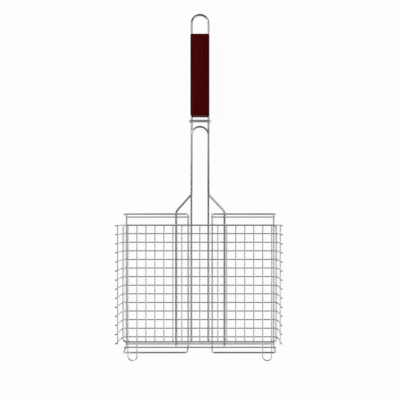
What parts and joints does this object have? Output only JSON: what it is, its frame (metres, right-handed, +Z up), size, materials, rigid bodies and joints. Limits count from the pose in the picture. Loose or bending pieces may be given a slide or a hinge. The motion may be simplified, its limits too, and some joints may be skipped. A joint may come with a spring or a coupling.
{
  "type": "grill basket",
  "caption": "Wire grill basket with a flanged mesh lid hinged on a two-loop wire base, a long handle with a wooden grip and a sliding lock ring.",
  "frame": {"origin": "on the ground under the middle of the basket's whole length and width", "axes": "+Y from the basket toward the hanging loop, +Z up out of the tray, +X to the right with the handle pointing away"},
  "size_m": [0.2786, 0.6088, 0.0628],
  "materials": {
    "rod_chrome": "bright plated steel rod",
    "mesh_chrome": "bright plated steel wire, slightly duller",
    "ring_chrome": "bright plated steel wire",
    "stained_wood": "dark red-brown stained wood, satin varnish"
  },
  "bodies": {
    "base": {"handle_rod": "rod_chrome", "left_frame": "rod_chrome", "right_frame": "rod_chrome", "left_crossbar": "rod_chrome", "right_crossbar": "rod_chrome", "far_lower_rod": "rod_chrome", "hinge_rod": "rod_chrome", "grip": "stained_wood"},
    "lid": {"cross_wire_01": "mesh_chrome", "cross_wire_02": "mesh_chrome", "cross_wire_03": "mesh_chrome", "cross_wire_04": "mesh_chrome", "cross_wire_05": "mesh_chrome", "cross_wire_06": "mesh_chrome", "cross_wire_07": "mesh_chrome", "cross_wire_08": "mesh_chrome", "cross_wire_09": "mesh_chrome", "cross_wire_10": "mesh_chrome", "cross_wire_11": "mesh_chrome", "cross_wire_12": "mesh_chrome", "cross_wire_13": "mesh_chrome", "cross_wire_14": "mesh_chrome", "long_wire_01": "mesh_chrome", "long_wire_02": "mesh_chrome", "long_wire_03": "mesh_chrome", "long_wire_04": "mesh_chrome", "long_wire_05": "mesh_chrome", "long_wire_06": "mesh_chrome", "long_wire_07": "mesh_chrome", "long_wire_08": "mesh_chrome", "long_wire_09": "mesh_chrome", "long_wire_10": "mesh_chrome", "long_wire_11": "mesh_chrome", "left_tab_wire": "mesh_chrome", "right_tab_wire": "mesh_chrome", "lid_handle": "rod_chrome", "rim": "rod_chrome", "left_edge_wire": "mesh_chrome", "right_edge_wire": "mesh_chrome"},
    "ring": {"lock_ring": "ring_chrome"}
  },
  "joints": [
    {"name": "lid_hinge", "type": "hinge", "parent": "base", "child": "lid", "pos_m": [0, -0.2809, 0.02055], "axis": [1, 0, 0], "range_deg": [0, 60]},
    {"name": "ring_slide", "type": "slide", "parent": "base", "child": "ring", "axis": [0, 1, 0], "range_m": [-0.0423, 0.006]}
  ]
}
